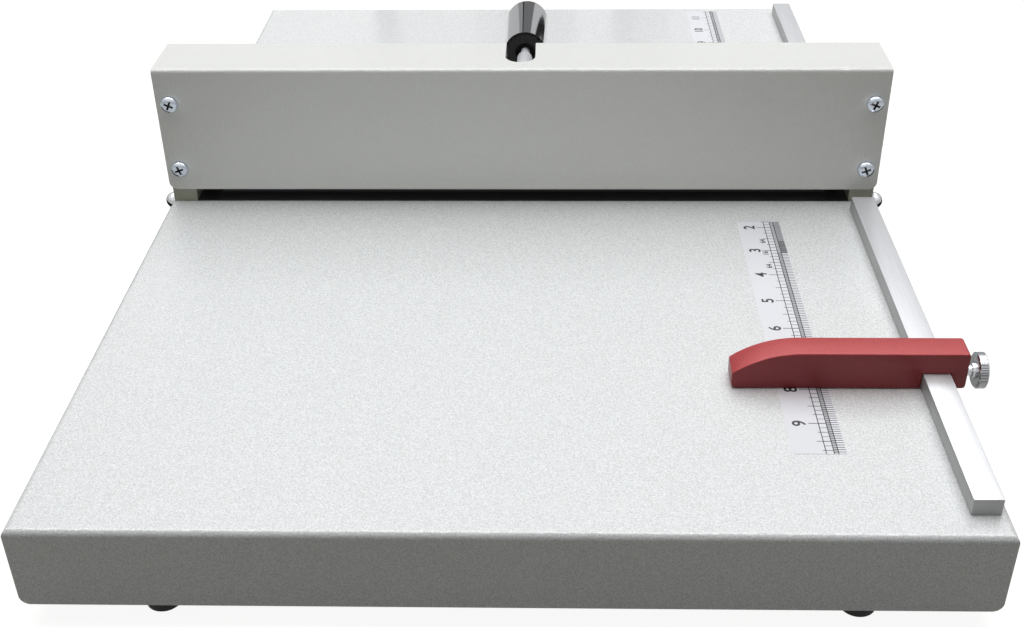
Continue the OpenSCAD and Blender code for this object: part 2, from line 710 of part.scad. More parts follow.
// Return spring round a guide post: one unbroken tube, 8 rings a turn, 6 sides
spring_sides = 6;
spring_steps = 8 * spring_turns;
spring_r = post_d / 2 + spring_play + spring_wire / 2;
spring_low = anvil_z + spring_seat + spring_wire / 2;
spring_high = carrier_low - spring_seat - spring_wire / 2;
spring_pitch = (spring_high - spring_low) / spring_turns;
spring_lean = atan(spring_pitch / (2 * PI * spring_r));
function spring_point(i, j) =
  let (a = i * 45, b = j * 360 / spring_sides, out = spring_wire / 2 * cos(b), up = spring_wire / 2 * sin(b))
  [(spring_r + out) * cos(a) + up * sin(spring_lean) * sin(a),
   (spring_r + out) * sin(a) - up * sin(spring_lean) * cos(a),
   spring_low + spring_pitch * i / 8 + up * cos(spring_lean)];
spring_points = [for (i = [0 : spring_steps], j = [0 : spring_sides - 1]) spring_point(i, j)];
function ring_at(i, j) = i * spring_sides + j % spring_sides;
spring_faces = concat(
  [for (i = [0 : spring_steps - 1], j = [0 : spring_sides - 1]) [ring_at(i, j), ring_at(i, j + 1), ring_at(i + 1, j + 1)]],
  [for (i = [0 : spring_steps - 1], j = [0 : spring_sides - 1]) [ring_at(i, j), ring_at(i + 1, j + 1), ring_at(i + 1, j)]],
  [for (j = [1 : spring_sides - 2]) [ring_at(0, 0), ring_at(0, j + 1), ring_at(0, j)]],
  [for (j = [1 : spring_sides - 2]) [ring_at(spring_steps, 0), ring_at(spring_steps, j), ring_at(spring_steps, j + 1)]]);
// Least distance between the wire's surface on one turn and on the next, measured on the points
spring_gap = min([for (i = [0 : 7], j = [0 : spring_sides - 1], k = [6 : 10], m = [0 : spring_sides - 1])
  norm(spring_point(i, j) - spring_point(i + k, m))]);
echo(spring_gap_mm = spring_gap);

module spring(sx) color(steel) translate([sx * post_x, 0, 0]) polyhedron(spring_points, spring_faces);
module spring_left() spring(-1);
module spring_right() spring(1);

// ---- fences and rulers ----

function fence_rows() = [for (s = [-1, 1], i = [0 : fence_screw_n - 1])
  s * (fence_from + (fence_to - fence_from) * (i + 0.5) / fence_screw_n)];

module fence() color(aluminium) difference() {
  span([fence_in, fence_from, deck], [fence_out, fence_to, deck + fence_h]);
  for (y = fence_rows()) translate([fence_mid, y, deck - cut]) cylinder(d = m4 + 2 * seat, h = fence_bite + cut);
}
module fence_rear() fence();
module fence_front() mirror([0, 1, 0]) fence();

module fence_screws() color(zinc) for (y = fence_rows()) translate([fence_mid, y, deck - sheet_t])
  rotate([180, 0, 0]) pan_screw(m4, fence_pan_d, fence_pan_h, sheet_t + fence_bite - screw_gap);

module ruler(from, to) color(strip_white) span([ruler_x - ruler_w, from, deck], [ruler_x, to, deck + ruler_t]);
module ruler_front() ruler(-ruler_front_to, -ruler_front_from);
module ruler_rear() ruler(ruler_rear_from, ruler_rear_to);

// ---- paper stop ----

module stop_outline() {
  top = deck + stop_h;
  difference() {
    union() {
      translate([stop_slope_x, deck + stop_low]) square([stop_right - stop_slope_x, stop_h - stop_low]);
      intersection() {
        translate([stop_slope_x, top - stop_slope_r]) circle(stop_slope_r, $fn = 240);
        translate([stop_tip_x, deck + stop_low]) square([stop_slope_x - stop_tip_x + cut, stop_h]);
      }
    }
    translate([fence_in - slide_gap, deck - cut]) square([fence_w + 2 * slide_gap, notch_h + cut]);
    translate([stop_right, top]) spandrel(stop_corner_r, -1, -1);
    translate([stop_right, deck + stop_low]) spandrel(stop_corner_r, -1, 1);
    translate([stop_tip_x, deck + stop_low]) spandrel(stop_corner_r, 1, 1);
  }
}

module paper_stop() color(red) difference() {
  translate([0, -stop_y, 0]) push_y(stop_d) stop_outline();
  along_x([fence_out, -stop_y, deck + thumb_h]) cylinder(d = thumb_d + 2 * run, h = 2 * leg_t);
}

// Knurled outline of the thumb screw's head
knurl_points = [for (i = [0 : 2 * knurl_n - 1])
  let (r = knob_d / 2 - (i % 2) * knurl_h) [r * cos(i * 180 / knurl_n), r * sin(i * 180 / knurl_n)]];

module thumb_screw() color(zinc) along_x([0, -stop_y, deck + thumb_h]) {
  translate([0, 0, fence_out + thumb_gap]) cylinder(d = thumb_d, h = knob_x - fence_out);
  translate([0, 0, knob_x - knob_neck_h]) cylinder(d = knob_neck_d, h = knob_neck_h + knurl_h);
  difference() {
    union() {
      translate([0, 0, knob_x]) cylinder(d = knob_d - 3 * knurl_h, h = knob_t);
      translate([0, 0, knob_x + knurl_h]) linear_extrude(knob_t - 2 * knurl_h) polygon(knurl_points);
    }
    translate([0, 0, knob_x + knob_t - knob_dish_h]) cylinder(d = knob_d - 2 * knob_rim, h = knob_dish_h + cut);
  }
}

base_shell();
foot_rail_front();
foot_rail_rear();
foot_front_left();
foot_front_right();
foot_rear_left();
foot_rear_right();
foot_screws();
foot_nuts();
anvil_bar();
crease_matrix();
end_plate_left();
end_plate_right();
side_studs();
side_washers();
cap_nuts();
cover();
cover_screws_front();
cover_screws_rear();
bush_left();
bush_right();
cam_shaft();
cam_left();
cam_right();
collar_left();
collar_right();
lever_hub();
set_screws();
lever_rod();
lever_grip();
grip_plug();
blade_carrier();
crease_blade();
blade_screws();
cam_pads();
guide_posts();
spring_left();
spring_right();
fence_front();
fence_rear();
fence_screws();
ruler_front();
ruler_rear();
paper_stop();
thumb_screw();
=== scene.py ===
"""Looks of a desktop paper creasing machine: painted sheet metal, a bright lever, fences, rulers and a red stop."""

import json
import logging
import math
from contextlib import contextmanager
from dataclasses import dataclass, field
from enum import Enum
from typing import Callable, Dict, Iterator, List, Optional, Sequence, Tuple

import bpy
from mathutils import Matrix, Vector

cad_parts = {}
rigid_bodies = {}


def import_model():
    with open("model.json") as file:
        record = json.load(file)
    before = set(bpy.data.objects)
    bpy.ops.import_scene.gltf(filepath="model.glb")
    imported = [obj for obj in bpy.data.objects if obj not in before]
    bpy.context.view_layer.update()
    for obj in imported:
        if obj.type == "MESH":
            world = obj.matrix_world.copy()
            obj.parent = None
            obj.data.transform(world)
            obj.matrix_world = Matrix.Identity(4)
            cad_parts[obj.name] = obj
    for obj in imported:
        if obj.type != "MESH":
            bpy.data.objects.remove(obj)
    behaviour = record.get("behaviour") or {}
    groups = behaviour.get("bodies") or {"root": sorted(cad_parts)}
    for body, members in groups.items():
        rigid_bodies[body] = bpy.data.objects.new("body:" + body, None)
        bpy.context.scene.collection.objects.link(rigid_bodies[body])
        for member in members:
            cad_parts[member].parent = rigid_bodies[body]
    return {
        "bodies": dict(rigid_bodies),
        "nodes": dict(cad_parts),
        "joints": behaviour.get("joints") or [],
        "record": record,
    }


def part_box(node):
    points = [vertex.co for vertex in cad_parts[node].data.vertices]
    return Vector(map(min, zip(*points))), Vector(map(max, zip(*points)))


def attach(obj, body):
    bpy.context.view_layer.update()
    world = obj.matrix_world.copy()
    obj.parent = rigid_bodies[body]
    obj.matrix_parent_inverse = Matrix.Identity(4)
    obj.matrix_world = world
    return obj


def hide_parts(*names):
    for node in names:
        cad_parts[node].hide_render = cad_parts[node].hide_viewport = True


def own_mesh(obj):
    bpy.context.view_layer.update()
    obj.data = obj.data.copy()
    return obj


LOG = logging.getLogger("creaser")
MM = 0.001
INCH = 0.0254
NEAR = 0.00001
WHITE = (1, 1, 1, 1)
Point = Tuple[float, float, float]
Colour = Tuple[float, float, float]
Pair = Tuple[float, float]
Object = bpy.types.Object
Socket = bpy.types.NodeSocket


class Axis(Enum):
    """The direction in which a turned piece points."""

    UP = (0.0, 0.0, 0.0)
    RIGHT = (0.0, math.pi / 2, 0.0)
    FRONT = (math.pi / 2, 0.0, 0.0)
    REAR = (-math.pi / 2, 0.0, 0.0)


def linear(colour: Colour) -> Tuple[float, float, float, float]:
    """Turns a display colour into the linear value that a shader takes.

    Args:
        colour: Red, green and blue from 0 to 1, as a picture shows them.

    Returns:
        The linear colour with an alpha of 1.
    """
    r, g, b = (c / 12.92 if c <= 0.04045 else ((c + 0.055) / 1.055) ** 2.4 for c in colour)
    return (r, g, b, 1.0)


# ---- bench: modelling operators ----


class Bench:
    """The modelling operators that every piece is made with."""

    @staticmethod
    def clear() -> None:
        """Deselects every object."""
        bpy.ops.object.select_all(action="DESELECT")

    @staticmethod
    def pick(obj: Object) -> None:
        """Makes one object the only selected and active one.

        Args:
            obj: The object to work on.
        """
        Bench.clear()
        obj.select_set(True)
        bpy.context.view_layer.objects.active = obj

    @staticmethod
    def named(name: str) -> Object:
        """Names the active object and its mesh.

        Args:
            name: The piece's plain name.

        Returns:
            The active object.
        """
        obj = bpy.context.view_layer.objects.active
        obj.name = name
        obj.data.name = name
        return obj

    @staticmethod
    def block(name: str, low: Point, high: Point) -> Object:
        """Adds a box between two corners, with its place in its mesh.

        Args:
            name: The piece's name.
            low: The lowest corner in metres.
            high: The highest corner in metres.

        Returns:
            The new object.
        """
        Bench.clear()
        middle = [(a + b) / 2 for a, b in zip(low, high)]
        bpy.ops.mesh.primitive_cube_add(size=1.0, location=middle)
        obj = Bench.named(name)
        obj.scale = [b - a for a, b in zip(low, high)]
        return Bench.settle(obj)

    @staticmethod
    def settle(obj: Object) -> Object:
        """Moves an object's place, turn and scale into its mesh.

        Args:
            obj: The object.

        Returns:
            The same object at the origin.
        """
        Bench.pick(obj)
        bpy.ops.object.transform_apply(location=True, rotation=True, scale=True)
        return obj

    @staticmethod
    @contextmanager
    def chosen(obj: Object, faces: Optional[Callable] = None, verts: Optional[Callable] = None) -> Iterator:
        """Works in edit mode with the faces or corners that pass a test selected, or with everything selected.

        Args:
            obj: The object to edit.
            faces: A test on a face's centre and normal.
            verts: A test on a corner's place.

        Yields:
            Nothing, while edit mode is on.
        """
        Bench.pick(obj)
        bpy.ops.object.mode_set(mode="EDIT")
        bpy.ops.mesh.select_mode(type="VERT" if verts else "FACE")
        bpy.ops.mesh.select_all(action="DESELECT" if faces or verts else "SELECT")
        bpy.ops.object.mode_set(mode="OBJECT")
        if faces:
            for face in obj.data.polygons:
                face.select = bool(faces(face.center, face.normal))
        if verts:
            for vert in obj.data.vertices:
                vert.select = bool(verts(vert.co))
        bpy.ops.object.mode_set(mode="EDIT")
        yield
        bpy.ops.object.mode_set(mode="OBJECT")

    @staticmethod
    def tidy(obj: Object) -> None:
        """Merges doubles and turns the faces outwards.

        Args:
            obj: The object.
        """
        with Bench.chosen(obj):
            bpy.ops.mesh.remove_doubles(threshold=1e-6)
            bpy.ops.mesh.normals_make_consistent(inside=False)

    @staticmethod
    def modify(obj: Object, kind: str, **values: object) -> Object:
        """Adds a modifier and applies it.

        Args:
            obj: The object.
            kind: The modifier's type.
            **values: Its settings.

        Returns:
            The same object.
        """
        Bench.pick(obj)
        modifier = obj.modifiers.new(kind.title(), kind)
        for key, value in values.items():
            setattr(modifier, key, value)
        bpy.ops.object.modifier_apply(modifier=modifier.name)
        return obj

    @staticmethod
    def soften(obj: Object, width: float, steps: int, degrees: float = 40.0) -> None:
        """Rounds the sharp edges of a piece.

        Args:
            obj: The object.
            width: The rounding in metres.
            steps: The rounding's segments.
            degrees: Edges that bend more than this are rounded.
        """
        Bench.modify(obj, "BEVEL", width=width, segments=steps, limit_method="ANGLE",
                     angle_limit=math.radians(degrees), harden_normals=False)

    @staticmethod
    def smooth(obj: Object, degrees: float) -> None:
        """Shades a piece smooth except across sharp edges.

        Args:
            obj: The object.
            degrees: The least angle of a sharp edge.
        """
        Bench.pick(obj)
        bpy.ops.object.shade_smooth_by_angle(angle=math.radians(degrees))

    @staticmethod
    def turned(name: str, stations: Sequence[Pair], at: Point, turn: Point, sides: int = 64) -> Object:
        """Turns a solid from rings along its axis, as on a lathe.

        Args:
            name: The piece's name.
            stations: Height along the axis and radius of each ring, in metres; both ends are closed.
            at: The axis's start in metres.
            turn: The rotation that lays the axis.
            sides: Corners of a ring.

        Returns:
            The new object.
        """
        Bench.clear()
        z, radius = stations[0]
        bpy.ops.mesh.primitive_circle_add(vertices=sides, radius=radius, fill_type="NGON", location=(0, 0, z))
        obj = Bench.named(name)
        with Bench.chosen(Bench.settle(obj)):
            for next_z, next_radius in stations[1:]:
                bpy.ops.mesh.extrude_region_move(TRANSFORM_OT_translate={"value": (0, 0, next_z - z)})
                factor = next_radius / radius
                bpy.ops.transform.resize(value=(factor, factor, 1), center_override=(0, 0, next_z))
                z, radius = next_z, next_radius
        Bench.tidy(obj)
        obj.rotation_euler = turn
        obj.location = at
        return Bench.settle(obj)

    @staticmethod
    def joined(name: str, pieces: Sequence[Object]) -> Object:
        """Joins objects into one.

        Args:
            name: The joined piece's name.
            pieces: The objects.

        Returns:
            The joined object.
        """
        Bench.clear()
        for piece in pieces:
            piece.select_set(True)
        bpy.context.view_layer.objects.active = pieces[0]
        bpy.ops.object.join()
        return Bench.named(name)

    @staticmethod
    def carve(obj: Object, tool: Object) -> None:
        """Cuts one solid from another and removes the cutter.

        Args:
            obj: The solid.
            tool: The cutter.
        """
        Bench.modify(obj, "BOOLEAN", operation="DIFFERENCE", object=tool, solver="EXACT")
        bpy.data.objects.remove(tool)

    @staticmethod
    def copied(obj: Object, name: str, move: Point = (0, 0, 0), mirror: Point = (1, 1, 1)) -> Object:
        """Copies a piece with its own mesh.

        Args:
            obj: The piece.
            name: The copy's name.
            move: The copy's shift in metres.
            mirror: 1 or -1 along each axis, applied before the shift.

        Returns:
            The copy.
        """
        twin = obj.copy()
        twin.data = obj.data.copy()
        bpy.context.scene.collection.objects.link(twin)
        twin.name = name
        twin.data.name = name
        twin.scale = mirror
        twin.location = move
        Bench.settle(twin)
        if min(mirror) < 0:
            Bench.tidy(twin)
        return twin


# ---- finishes ----


@dataclass
class Nodes:
    """A small helper that lays out shader nodes in one tree."""

    tree: bpy.types.NodeTree

    def put(self, value: object, target: Socket) -> None:
        """Gives an input its value, or links it when the value is a socket.

        Args:
            value: The value or the source's socket.
            target: The input.
        """
        if isinstance(value, Socket):
            self.tree.links.new(value, target)
        else:
            target.default_value = value

    def add(self, kind: str, **values: object) -> bpy.types.Node:
        """Adds a node and sets its inputs or settings.

        Args:
            kind: The node's type.
            **values: Settings, or inputs whose names start with a capital, with _ for a space.

        Returns:
            The node.
        """
        node = self.tree.nodes.new(kind)
        for key, value in values.items():
            if key[0].isupper():
                self.put(value, node.inputs[key.replace("_", " ")])
            else:
                setattr(node, key, value)
        return node

    def sum(self, operation: str, *values: object) -> Socket:
        """Adds a Math node on sockets and numbers.

        Args:
            operation: The Math node's operation.
            *values: Sockets or numbers.

        Returns:
            The result's socket.
        """
        node = self.add("ShaderNodeMath", operation=operation)
        for value, target in zip(values, node.inputs):
            self.put(value, target)
        return node.outputs[0]


def fresh_nodes(owner: bpy.types.ID, output: str) -> Tuple[Nodes, Socket]:
    """Empties the shader tree of a material or a world and gives it an output.

    Args:
        owner: The material or world.
        output: The output node's type.

    Returns:
        The nodes helper and the output's surface socket.
    """
    owner.use_nodes = True
    owner.node_tree.nodes.clear()
    nodes = Nodes(owner.node_tree)
    return nodes, nodes.add(output).inputs["Surface"]


def new_group(name: str, scale: float, outputs: Sequence[str]) -> Tuple[Nodes, Dict, Dict]:
    """Starts a shader node group with the inputs Coordinates and Scale.

    Args:
        name: The group's name.
        scale: The first value of Scale.
        outputs: Names of its value outputs.

    Returns:
        The nodes helper, its input sockets and its output sockets by name.
    """
    tree = bpy.data.node_groups.new(name, "ShaderNodeTree")
    tree.interface.new_socket("Coordinates", in_out="INPUT", socket_type="NodeSocketVector")
    tree.interface.new_socket("Scale", in_out="INPUT", socket_type="NodeSocketFloat").default_value = scale
    for key in outputs:
        tree.interface.new_socket(key, in_out="OUTPUT", socket_type="NodeSocketFloat")
    nodes = Nodes(tree)
    start = nodes.add("NodeGroupInput")
    end = nodes.add("NodeGroupOutput")
    return nodes, {s.name: s for s in start.outputs}, {s.name: s for s in end.inputs}


class Effects:
    """The surface effects that several finishes share, each built once."""

    BEND_SCALE = 260.0
    BEND_WEIGHT = 0.35
    CELL_SOFTNESS = 0.6
    CELL_WEIGHT = -0.8
    FINE_RATIO = 1.7
    LINE_STRETCH = 0.02
    PATCH_RANGE = (0.35, 0.68)

    def __init__(self) -> None:
        """Builds the three groups."""
        self.grain = self._grain()
        self.brushed = self._brushed()
        self.handling = self._handling()

    def _grain(self) -> bpy.types.NodeTree:
        """Builds the fine orange peel of a sprayed or etched surface.

        Returns:
            The group, with outputs Height and Tint.
        """
        nodes, given, out = new_group("Sprayed_Grain", 900.0, ["Height", "Tint"])
        place = given["Coordinates"]
        bend = nodes.add("ShaderNodeTexNoise", Vector=place, Scale=self.BEND_SCALE, Detail=2.0)
        cells = nodes.add("ShaderNodeTexVoronoi", feature="SMOOTH_F1", Smoothness=self.CELL_SOFTNESS, Vector=place,
                          Scale=given["Scale"])
        fine = nodes.add("ShaderNodeTexNoise", Vector=place, Detail=3.0, Roughness=0.55,
                         Scale=nodes.sum("MULTIPLY", given["Scale"], self.FINE_RATIO))
        mixed = nodes.sum("MULTIPLY_ADD", cells.outputs["Distance"], self.CELL_WEIGHT, fine.outputs["Fac"])
        nodes.put(nodes.sum("MULTIPLY_ADD", bend.outputs["Fac"], self.BEND_WEIGHT, mixed), out["Height"])
        nodes.put(nodes.sum("SUBTRACT", fine.outputs["Fac"], 0.5), out["Tint"])
        return nodes.tree

    def _brushed(self) -> bpy.types.NodeTree:
        """Builds the long fine lines of a brushed or drawn metal, along Y.

        Returns:
            The group, with outputs Height and Tint.
        """
        nodes, given, out = new_group("Drawn_Lines", 1500.0, ["Height", "Tint"])
        along = nodes.add("ShaderNodeVectorMath", operation="MULTIPLY")
        nodes.put(given["Coordinates"], along.inputs[0])
        nodes.put((1.0, self.LINE_STRETCH, 1.0), along.inputs[1])
        lines = nodes.add("ShaderNodeTexNoise", Vector=along.outputs[0], Scale=given["Scale"], Detail=4.0,
                          Roughness=0.7)
        nodes.put(lines.outputs["Fac"], out["Height"])
        nodes.put(nodes.sum("SUBTRACT", lines.outputs["Fac"], 0.5), out["Tint"])
        return nodes.tree

    def _handling(self) -> bpy.types.NodeTree:
        """Builds the soft patches that hands and dust leave.

        Returns:
            The group, with output Patch from 0 to 1.
        """
        nodes, given, out = new_group("Handling_Patches", 14.0, ["Patch"])
        broad = nodes.add("ShaderNodeTexNoise", Vector=given["Coordinates"], Scale=given["Scale"], Detail=5.0,
                          Roughness=0.6, Distortion=0.8)
        low, high = self.PATCH_RANGE
        ramp = nodes.add("ShaderNodeMapRange", Value=broad.outputs["Fac"], From_Min=low, From_Max=high)
        nodes.put(ramp.outputs["Result"], out["Patch"])
        return nodes.tree


class Texture(Enum):
    """Which fine surface a finish has."""

    GRAIN = "grain"
    BRUSHED = "brushed"


@dataclass(frozen=True)
class Finish:
    """One surface finish of the machine.

    A finish is a colour that varies a little with its fine surface and with handling, plus gloss and relief.
    """

    name: str
    colour: Colour
    metallic: float = 0.0
    roughness: float = 0.4
    rough_swing: float = 0.06
    texture: Texture = Texture.GRAIN
    scale: float = 900.0
    tint: float = 0.1
    patch_tint: float = 0.02
    relief: float = 0.1
    depth: float = 0.0001
    specular: float = 0.5

    def build(self, effects: Effects) -> bpy.types.Material:
        """Builds the material.

        Args:
            effects: The shared groups.

        Returns:
            The material.
        """
        material = bpy.data.materials.new(self.name)
        nodes, surface = fresh_nodes(material, "ShaderNodeOutputMaterial")
        place = nodes.add("ShaderNodeTexCoord").outputs["Object"]
        group = effects.grain if self.texture is Texture.GRAIN else effects.brushed
        fine = nodes.add("ShaderNodeGroup", node_tree=group, Coordinates=place, Scale=self.scale)
        patch = nodes.add("ShaderNodeGroup", node_tree=effects.handling, Coordinates=place).outputs["Patch"]
        shade = nodes.sum("MULTIPLY_ADD", fine.outputs["Tint"], self.tint, 1.0)
        shade = nodes.sum("MULTIPLY_ADD", patch, -self.patch_tint, shade)
        grey = nodes.add("ShaderNodeCombineColor", Red=shade, Green=shade, Blue=shade)
        base = nodes.add("ShaderNodeMix", data_type="RGBA", blend_type="MULTIPLY", Factor=1.0,
                         A=linear(self.colour), B=grey.outputs[0])
        bump = nodes.add("ShaderNodeBump", Strength=self.relief, Distance=self.depth, Height=fine.outputs["Height"])
        shader = nodes.add("ShaderNodeBsdfPrincipled", Metallic=self.metallic, Specular_IOR_Level=self.specular,
                           Base_Color=base.outputs["Result"], Normal=bump.outputs[0],
                           Roughness=nodes.sum("MULTIPLY_ADD", patch, self.rough_swing, self.roughness))
        nodes.put(shader.outputs[0], surface)
        return material


FINISHES: Dict[str, Finish] = {
    "table_paint": Finish("sprayed_table_paint", (0.885, 0.889, 0.874), roughness=0.28, rough_swing=0.01,
                          scale=820.0, tint=0.15, patch_tint=0.004, relief=0.8, depth=0.00018),
    # The deck's paint. Its strong grain tint is the orange peel itself and painted light: light and dark specks that
    # stand for the peel's glints and shading
    "deck_paint_and_glints": Finish("sprayed_deck_coat_painted_glints", (0.885, 0.892, 0.892), roughness=0.20, rough_swing=0.01,
                         scale=800.0, tint=1.05, patch_tint=0.004, relief=0.8, depth=0.00014),
    # The end plates carry the same beige paint as the cover; their darker tone is painted shade under the cover's lip
    "plate_paint": Finish("sprayed_plate_coat_painted_shade", (0.65, 0.655, 0.59), roughness=0.36, scale=820.0, tint=0.12,
                          relief=0.8, depth=0.00025),
    "black_steel": Finish("blackened_steel", (0.31, 0.31, 0.32), metallic=0.3, roughness=0.42, scale=1400.0,
                          tint=0.2, relief=0.15, texture=Texture.BRUSHED),
    "zinc": Finish("zinc_plate", (0.80, 0.83, 0.87), metallic=1.0, roughness=0.17, scale=1800.0, tint=0.12,
                   patch_tint=0.05, relief=0.08, depth=0.00005),
    "bright_chrome": Finish("bright_chrome", (0.86, 0.865, 0.88), metallic=1.0, roughness=0.05, rough_swing=0.05,
                            scale=1500.0, tint=0.02, patch_tint=0.03, relief=0.01, depth=0.00003),
    "bare_steel": Finish("ground_steel", (0.62, 0.625, 0.63), metallic=1.0, roughness=0.3, texture=Texture.BRUSHED,
                         scale=1600.0, tint=0.2, relief=0.12, depth=0.00005),
    "bright_rod": Finish("bright_ground_rod", (0.90, 0.905, 0.92), metallic=0.45, roughness=0.3,
                         texture=Texture.BRUSHED, scale=1500.0, tint=0.06, relief=0.05, depth=0.00004),
    "nickel": Finish("dull_nickel", (0.82, 0.825, 0.84), metallic=1.0, roughness=0.15, scale=1800.0, tint=0.15,
                     patch_tint=0.06, relief=0.08, depth=0.00005),
    "recess_shade": Finish("shaded_recess", (0.16, 0.165, 0.19), metallic=0.6, scale=1800.0, relief=0.05),
    # Dark steel for the lever hub; on the guide posts, the return springs and the grip's mouth ring this darkness is
    # painted shade
    "dark_steel_and_shade": Finish("dark_steel_and_painted_shade", (0.11, 0.11, 0.12), metallic=0.6, roughness=0.38, scale=1500.0,
                       tint=0.2),
    "bush_bronze": Finish("sintered_bronze", (0.72, 0.54, 0.30), metallic=1.0, roughness=0.38, scale=2200.0,
                          tint=0.3, relief=0.2, depth=0.00006),
    "fence_aluminium": Finish("drawn_aluminium", (0.80, 0.805, 0.815), metallic=0.4, roughness=0.38,
                              texture=Texture.BRUSHED, scale=1900.0, tint=0.35, patch_tint=0.04, relief=0.2,
                              depth=0.00006),
    # The fences' vertical faces: the same drawn aluminium, with a darker colour that is painted shade
    "fence_shaded_side": Finish("aluminium_painted_side_shade", (0.67, 0.675, 0.675), metallic=0.6, roughness=0.42,
                         texture=Texture.BRUSHED, scale=1600.0, tint=0.3, patch_tint=0.1, relief=0.15,
                         depth=0.00005),
    "red_anodised": Finish("red_anodised_alloy", (0.67, 0.19, 0.20), metallic=0.1, roughness=0.42, scale=1300.0,
                           tint=1.3, patch_tint=0.05, relief=0.5, depth=0.00014),
    # The stop's faces that do not face up: smoother grain than the top, and a darker colour that is painted shade
    "red_shaded_side": Finish("red_alloy_painted_shade", (0.505, 0.125, 0.145), metallic=0.1, roughness=0.36, scale=1300.0,
                         tint=0.25, patch_tint=0.06, relief=0.2, depth=0.00008),
    "black_rubber": Finish("black_rubber", (0.05, 0.05, 0.055), roughness=0.6, specular=0.3, scale=1500.0, tint=0.25,
                           relief=0.25, depth=0.00008),
    "ruler_film": Finish("white_ruler_film", (0.885, 0.888, 0.905), roughness=0.42, scale=2200.0, tint=0.01,
                         patch_tint=0.01, relief=0.02, depth=0.00002),
    "ruler_ink": Finish("ruler_ink", (0.06, 0.06, 0.07), roughness=0.45, scale=2500.0, relief=0.02),
    "ruler_grey_ink": Finish("ruler_grey_ink", (0.22, 0.22, 0.24), roughness=0.45, scale=2500.0, relief=0.02),
}


class FinishRack:
    """Builds each finish when it is first used."""

    def __init__(self) -> None:
        """Builds the shared effects."""
        self.effects = Effects()
        self.built: Dict[str, bpy.types.Material] = {}

    def get(self, key: str) -> bpy.types.Material:
        """Finds or builds a material.

        Args:
            key: The finish's key.

        Returns:
            The material.
        """
        if key not in self.built:
            self.built[key] = FINISHES[key].build(self.effects)
        return self.built[key]

    def paint(self, obj: Object, key: str) -> None:
        """Gives an object one finish all over.

        Args:
            obj: The object.
            key: The finish's key.
        """
        if len(obj.material_slots) == 0:
            obj.data.materials.append(self.get(key))
        for item in obj.material_slots:
            item.material = self.get(key)


# ---- pieces ----


@dataclass
class SubAssembly:
    """What every group of pieces shares: the frame, the finishes and the way that a piece is put on a body."""

    frame: Dict
    rack: FinishRack
    body: str = "base"
    made: List[Object] = field(default_factory=list)

    def box(self, node: str) -> Tuple[Vector, Vector]:
        """Finds a node's corners at rest.

        Args:
            node: The node's name.

        Returns:
            Its lowest and highest corner.
        """
        low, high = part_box(node)
        return Vector(low), Vector(high)

    def keep(self, piece: Object, finish: str, slot: str, *nodes: str) -> Object:
        """Finishes a piece: its material, its body and the nodes that it stands for.

        Args:
            piece: The piece.
            finish: The finish's key.
            slot: The record's material slot; not used.
            *nodes: The nodes that the piece replaces.

        Returns:
            The same piece.
        """
        self.rack.paint(piece, finish)
        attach(piece, self.body)
        if nodes:
            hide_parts(*nodes)
        self.made.append(piece)
        return piece

    def face(self, piece: Object, finish: str, test: Callable) -> None:
        """Gives some faces of a finished piece a second finish.

        Args:
            piece: The piece.
            finish: The second finish's key.
            test: A test on a face's centre and normal.
        """
        piece.data.materials.append(self.rack.get(finish))
        piece.active_material_index = len(piece.material_slots) - 1
        with Bench.chosen(piece, faces=test):
            bpy.ops.object.material_slot_assign()

    def report(self) -> None:
        """Logs what was made."""
        LOG.info("%s: %s", type(self).__name__, ", ".join(piece.name for piece in self.made))


class DressedNodes(SubAssembly):
    """The nodes whose shape is final in the frame and that only take a finish."""

    # lever_hub and guide_posts take dark steel, which on the guide posts is painted shade in the gap under the cover;
    # base_shell takes the deck paint, whose strong grain tint is partly painted glints
    CHANGED = {"lever_hub": "dark_steel_and_shade", "guide_posts": "dark_steel_and_shade", "lever_rod": "bright_rod",
               "base_shell": "deck_paint_and_glints"}

    def build(self) -> None:
        """Gives every node of the frame its finish."""
        slots = {s["node"]: s["material_slot"] for s in self.frame["record"]["subparts"]}
        for name, obj in self.frame["nodes"].items():
            self.rack.paint(obj, self.CHANGED.get(name, slots[name]))


@dataclass
class Fences(SubAssembly):
    """The two drawn aluminium side fences."""

    edge: float = 0.45 * MM

    def build(self) -> None:
        """Makes both fences with softened edges; their vertical faces are painted darker as shade."""
        for node in ("fence_front", "fence_rear"):
            low, high = self.box(node)
            bar = Bench.block(node + "_bar", tuple(low), tuple(high))
            Bench.soften(bar, self.edge, 2)
            Bench.smooth(bar, 30)
            self.keep(bar, "fence_aluminium", "fence_aluminium", node)
            # The vertical faces take the darker colour: painted shade
            self.face(bar, "fence_shaded_side", lambda centre, normal: abs(normal.z) < 0.5)


